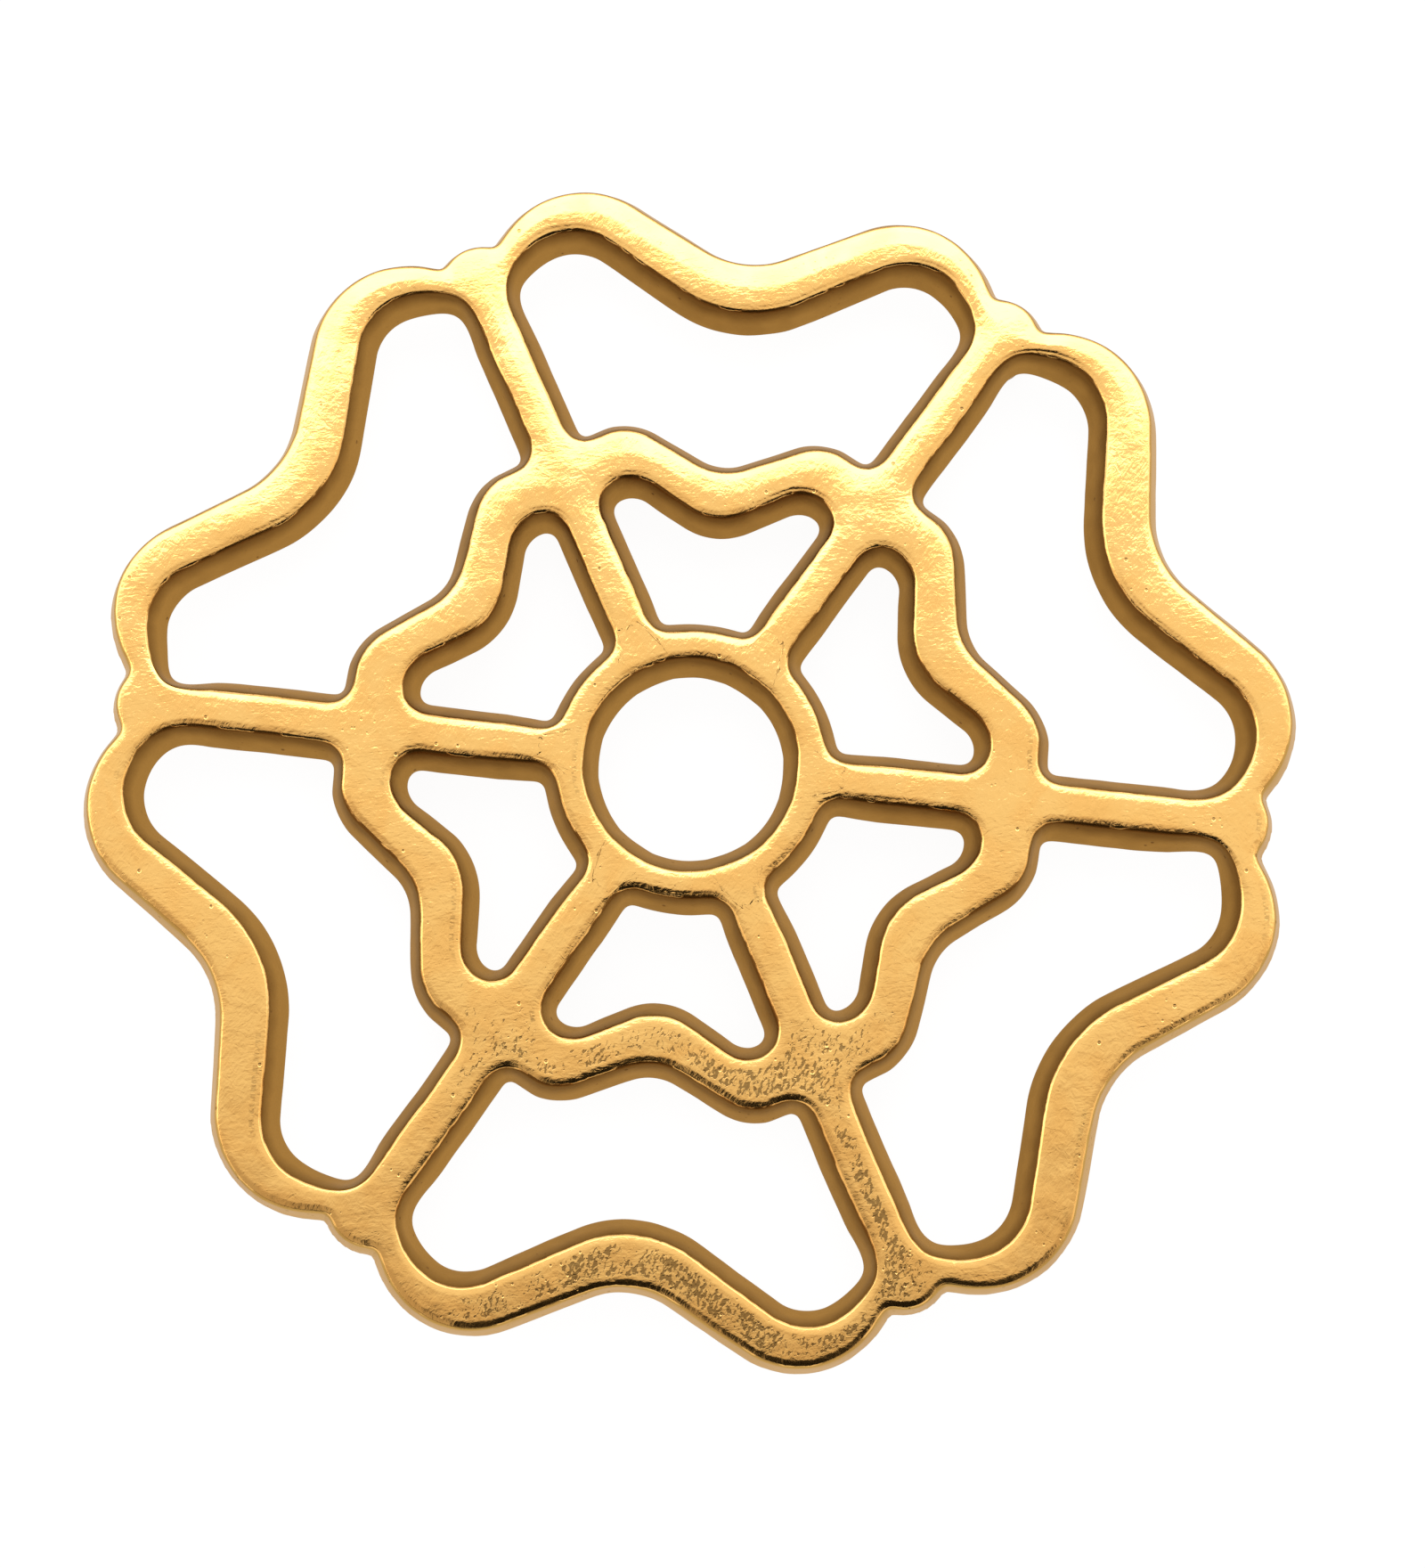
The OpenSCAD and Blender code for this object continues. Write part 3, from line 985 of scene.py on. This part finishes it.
    def _parted(self, skin: bpy.types.Mesh, index: int, name: str,
                material: bpy.types.Material) -> bpy.types.Object:
        """Parts one piece from the skin and closes it where it was cut.

        Args:
            skin: the whole skin.
            index: the piece's number.
            name: the node that it stands for.
            material: its material.

        Returns:
            The piece.
        """
        part = bmesh.new()
        part.from_mesh(skin)
        part.normal_update()
        owner = part.faces.layers.int[OWNER]
        lean = part.verts.layers.float_vector.new(LEAN)
        for vert in part.verts:
            vert[lean] = vert.normal
        others = [face for face in part.faces if face[owner] != index]
        bmesh.ops.delete(part, geom=others, context="FACES")
        cut = [edge for edge in part.edges if len(edge.link_faces) == 1]
        bmesh.ops.holes_fill(part, edges=cut, sides=0)
        normals = [Vector(vert[lean]) for vert in part.verts]
        part.verts.layers.float_vector.remove(part.verts.layers.float_vector[LEAN])
        part.faces.layers.int.remove(part.faces.layers.int[OWNER])
        for face in part.faces:
            face.smooth = True
        mesh = bpy.data.meshes.new(f"{name}_skin")
        part.to_mesh(mesh)
        part.free()
        mesh.normals_split_custom_set_from_vertices(normals)
        return finished(f"{name}_skin", mesh, material, [name])


@dataclass
class Foot:
    """A short tapered peg with a soft edge at the table, flared a little under the casting."""

    height: float = 8 * MM
    base_radius: float = 4.3 * MM
    tip_radius: float = 3.4 * MM
    flare: float = 0.25 * MM
    flare_height: float = 1.2 * MM
    edge: float = 0.5 * MM
    edge_segments: int = 4
    reach: float = 79.5 * MM
    steps: int = 64

    def build(self, number: int, material: bpy.types.Material) -> bpy.types.Object:
        """Builds one foot.

        Args:
            number: 1 to 3.
            material: its finish.

        Returns:
            The foot.
        """
        angle = SECTOR + 2 * SECTOR * (number - 1)
        middle = Vector((math.cos(angle), math.sin(angle), 0.0)) * self.reach
        part = bmesh.new()
        profile = [
            (0.0, 0.0), (self.tip_radius, 0.0),
            (self.base_radius - self.flare, self.height - self.flare_height),
            (self.base_radius, self.height), (0.0, self.height)]
        verts = [part.verts.new((radius, 0.0, height)) for radius, height in profile]
        edges = [part.edges.new(pair) for pair in zip(verts, verts[1:])]
        bmesh.ops.spin(
            part, geom=verts + edges, cent=(0.0, 0.0, 0.0), axis=(0.0, 0.0, 1.0),
            angle=2 * math.pi, steps=self.steps, use_merge=True)
        bmesh.ops.remove_doubles(part, verts=part.verts[:], dist=0.005 * MM)
        bmesh.ops.recalc_face_normals(part, faces=part.faces[:])
        rim = [
            edge for edge in part.edges
            if all(vert.co.z < 0.01 * MM and vert.co.length > MM for vert in edge.verts)]
        bmesh.ops.bevel(
            part, geom=rim, offset=self.edge, offset_type="OFFSET",
            segments=self.edge_segments, profile=0.5, affect="EDGES", clamp_overlap=True,
            material=-1)
        bmesh.ops.translate(part, verts=part.verts[:], vec=middle)
        for face in part.faces:
            face.smooth = True
        mesh = bpy.data.meshes.new(f"foot_{number}_peg")
        part.to_mesh(mesh)
        part.free()
        mesh.set_sharp_from_angle(angle=math.radians(50))
        return finished(f"foot_{number}_peg", mesh, material, [f"foot_{number}"])


# The studio


@dataclass(frozen=True)
class Sky:
    """How bright the studio is in each direction that the brass mirrors.

    Tilt is toward the picture's top and lean toward its right, both in degrees from straight up.
    """

    base: float = 0.57
    brighter_up: tuple = (-10.0, 8.0)
    brighter_gain: float = 0.49
    glow_up: tuple = (12.0, 22.0)
    glow_gain: float = 1.45
    right_side: tuple = (2.0, 12.0)
    right_below: tuple = (12.0, 4.0)
    right_gain: float = 0.07
    far_up: tuple = (28.0, 50.0)
    far_up_gain: float = 0.8
    far_out: tuple = (22.0, 44.0)
    far_out_gain: float = 1.4
    near_dark: tuple = (-28.0, -8.0, 1.5)
    near_dark_width: tuple = (-6.0, 14.0, 6.0)
    low_dark: tuple = (-92.0, -29.0, 4.0)
    low_dark_width: tuple = (66.0, 50.0)
    dark_depth: float = 0.98
    right_dark: tuple = (33.0, 41.0, 3.0)
    right_dark_below: tuple = (8.0, 1.0)
    right_dark_depth: float = 0.7
    horizon: tuple = (0.72, 0.54)
    horizon_share: float = 0.24
    horizon_most: float = 0.66
    plain: float = 0.8
    warm: tuple = (1.0, 0.89, 0.80, 1.0)
    warm_until: tuple = (-8.0, 7.0)
    cool: tuple = (1.0, 1.01, 1.18, 1.0)
    cool_from: tuple = (8.0, 22.0)

    def build(self, right: Vector, up: Vector) -> None:
        """Makes the world: bright beyond the picture's top, dark below it.

        Args:
            right: the picture's right on the table.
            up: the picture's up on the table.
        """
        world = bpy.data.worlds.new("studio")
        bpy.context.scene.world = world
        world.use_nodes = True
        graph = Graph(world.node_tree)
        away = graph.node("ShaderNodeTexCoord", out="Generated")
        rise = graph.toward(away, Vector((0.0, 0.0, 1.0)))
        tilt, lean = (
            graph.toward(away, axis).over(rise.most(0.001)) * (180 / math.pi)
            for axis in (up, right))

        rays = {name: graph.node("ShaderNodeLightPath", out=name) for name in (
            "Is Camera Ray", "Is Glossy Ray", "Is Transmission Ray")}
        seen = rays["Is Camera Ray"].most(rays["Is Transmission Ray"])
        glossy = rays["Is Glossy Ray"]
        strength = self.plain + seen * (1 - self.plain)
        strength = strength + glossy * (self._brightness(tilt, lean, rise) - strength)
        tint = graph.mix(tilt.ramp(*self.warm_until), self.warm, WHITE)
        tint = graph.mix(tilt.ramp(*self.cool_from), tint, self.cool)
        tint = graph.mix(glossy, WHITE, tint)
        shade = graph.node("ShaderNodeBackground", {}, {"Color": tint, "Strength": strength})
        graph.node("ShaderNodeOutputWorld", {}, {"Surface": shade})

    def _brightness(self, tilt: Sock, lean: Sock, rise: Sock) -> Sock:
        """How bright the brass sees the studio.

        Args:
            tilt: angle toward the picture's top.
            lean: angle toward its right.
            rise: how far up the direction points, from -1 to 1.

        Returns:
            The brightness.
        """
        level = self.base + tilt.ramp(*self.brighter_up) * self.brighter_gain
        level = level + tilt.ramp(*self.glow_up) * self.glow_gain
        aside = lean.ramp(*self.right_side) * tilt.ramp(*self.right_below)
        level = level + aside * self.right_gain
        level = level + tilt.ramp(*self.far_up) * self.far_up_gain
        level = level + abs(lean).ramp(*self.far_out) * self.far_out_gain
        near = tilt.band(*self.near_dark) * lean.band(*self.near_dark_width)
        level = level * (1 - near * self.dark_depth)
        low = tilt.band(*self.low_dark) * abs(lean).ramp(*self.low_dark_width)
        level = level * (1 - low * self.dark_depth)
        beside = lean.band(*self.right_dark) * tilt.ramp(*self.right_dark_below)
        level = level * (1 - beside * self.right_dark_depth)
        dimmer = (level * self.horizon_share).least(self.horizon_most)
        return level * (1 - rise.ramp(*self.horizon) * dimmer)


@dataclass(frozen=True)
class Lamp:
    """One soft lamp: its place is right, up the picture and above the table, in metres."""

    name: str
    place: tuple
    size: tuple
    power: float


@dataclass
class Studio:
    """White table, camera nearly overhead, and soft light with a dark side below the picture."""

    upward: tuple = (-0.1045, 0.9945)
    lamps: tuple = (
        Lamp("key", (0.0, 0.55, 0.75), (0.9, 0.6), 2.3),
        Lamp("side_left", (-0.8, 0.1, 0.5), (0.4, 0.8), 0.9))
    sensor: float = 36.0
    clip: tuple = (0.01, 20.0)
    focal_px: float = 3250.0
    frame_px: float = 1760.0
    eye: tuple = (9.18 * MM, -57.14 * MM, 430.3 * MM)
    eye_back: tuple = (0.0136, -0.1298, 0.99144)
    eye_up: tuple = (-0.1081, 0.9855, 0.1305)
    floor_size: float = 4.0
    floor_glow: float = 0.93
    floor_shade: tuple = (0.12, 0.12, 0.12, 1.0)

    def build(self) -> None:
        """Builds the whole studio."""
        self._camera()
        Sky().build(*self._axes())
        self._floor()
        for lamp in self.lamps:
            self._hang(lamp)

    def _axes(self) -> tuple[Vector, Vector]:
        """The picture's right and up on the table, in the row frame."""
        up = Vector((*self.upward, 0.0)).normalized()
        return Vector((up.y, -up.x, 0.0)), up

    def _camera(self) -> None:
        """Places the camera."""
        data = bpy.data.cameras.new("camera")
        data.sensor_fit = "AUTO"
        data.sensor_width = self.sensor
        data.lens = self.sensor * self.focal_px / self.frame_px
        data.clip_start, data.clip_end = self.clip
        camera = bpy.data.objects.new("camera", data)
        bpy.context.scene.collection.objects.link(camera)
        back = Vector(self.eye_back).normalized()
        up = Vector(self.eye_up)
        up = (up - up.dot(back) * back).normalized()
        right = up.cross(back)
        turn = camera.matrix_world.to_3x3()
        for row in range(3):
            turn[row] = (right[row], up[row], back[row])
        camera.matrix_world = turn.to_4x4()
        camera.location = self.eye
        bpy.context.scene.camera = camera

    def _floor(self) -> None:
        """A white table that keeps a faint shadow."""
        part = bmesh.new()
        bmesh.ops.create_grid(part, x_segments=1, y_segments=1, size=self.floor_size)
        mesh = bpy.data.meshes.new("table_top")
        part.to_mesh(mesh)
        part.free()
        floor = bpy.data.objects.new("table_top", mesh)
        bpy.context.scene.collection.objects.link(floor)
        material = bpy.data.materials.new("white_table")
        material.use_nodes = True
        graph = Graph(material.node_tree)
        seen = graph.node("ShaderNodeLightPath", out="Is Camera Ray").most(
            graph.node("ShaderNodeLightPath", out="Is Glossy Ray")).most(
            graph.node("ShaderNodeLightPath", out="Is Transmission Ray"))
        glow = graph.node(
            "ShaderNodeEmission", {},
            {"Color": WHITE, "Strength": seen * self.floor_glow})
        matt = graph.node("ShaderNodeBsdfDiffuse", {}, {"Color": self.floor_shade})
        both = graph.node("ShaderNodeAddShader", {}, {0: glow, 1: matt})
        graph.node("ShaderNodeOutputMaterial", {}, {"Surface": both})
        mesh.materials.append(material)

    def _hang(self, lamp: Lamp) -> None:
        """Hangs one soft lamp.

        Args:
            lamp: the lamp.
        """
        right, up = self._axes()
        data = bpy.data.lights.new(lamp.name, "AREA")
        data.shape = "RECTANGLE"
        data.size, data.size_y = lamp.size
        data.energy = lamp.power
        light = bpy.data.objects.new(lamp.name, data)
        bpy.context.scene.collection.objects.link(light)
        aside, beyond, above = lamp.place
        light.location = right * aside + up * beyond + Vector((0.0, 0.0, above))
        light.rotation_euler = light.location.to_track_quat("Z", "Y").to_euler()


def main() -> None:
    """Builds the trivet and the studio."""
    logging.basicConfig(level=logging.INFO, format="%(name)s: %(message)s")
    bpy.context.scene.view_settings.view_transform = "Standard"
    buffed = BuffedBrass().make()
    plain = PlainCastBrass().make()
    Casting().build(buffed)
    foot = Foot()
    for number in (1, 2, 3):
        foot.build(number, plain)
    Studio().build()


if __name__ == "__main__":
    main()
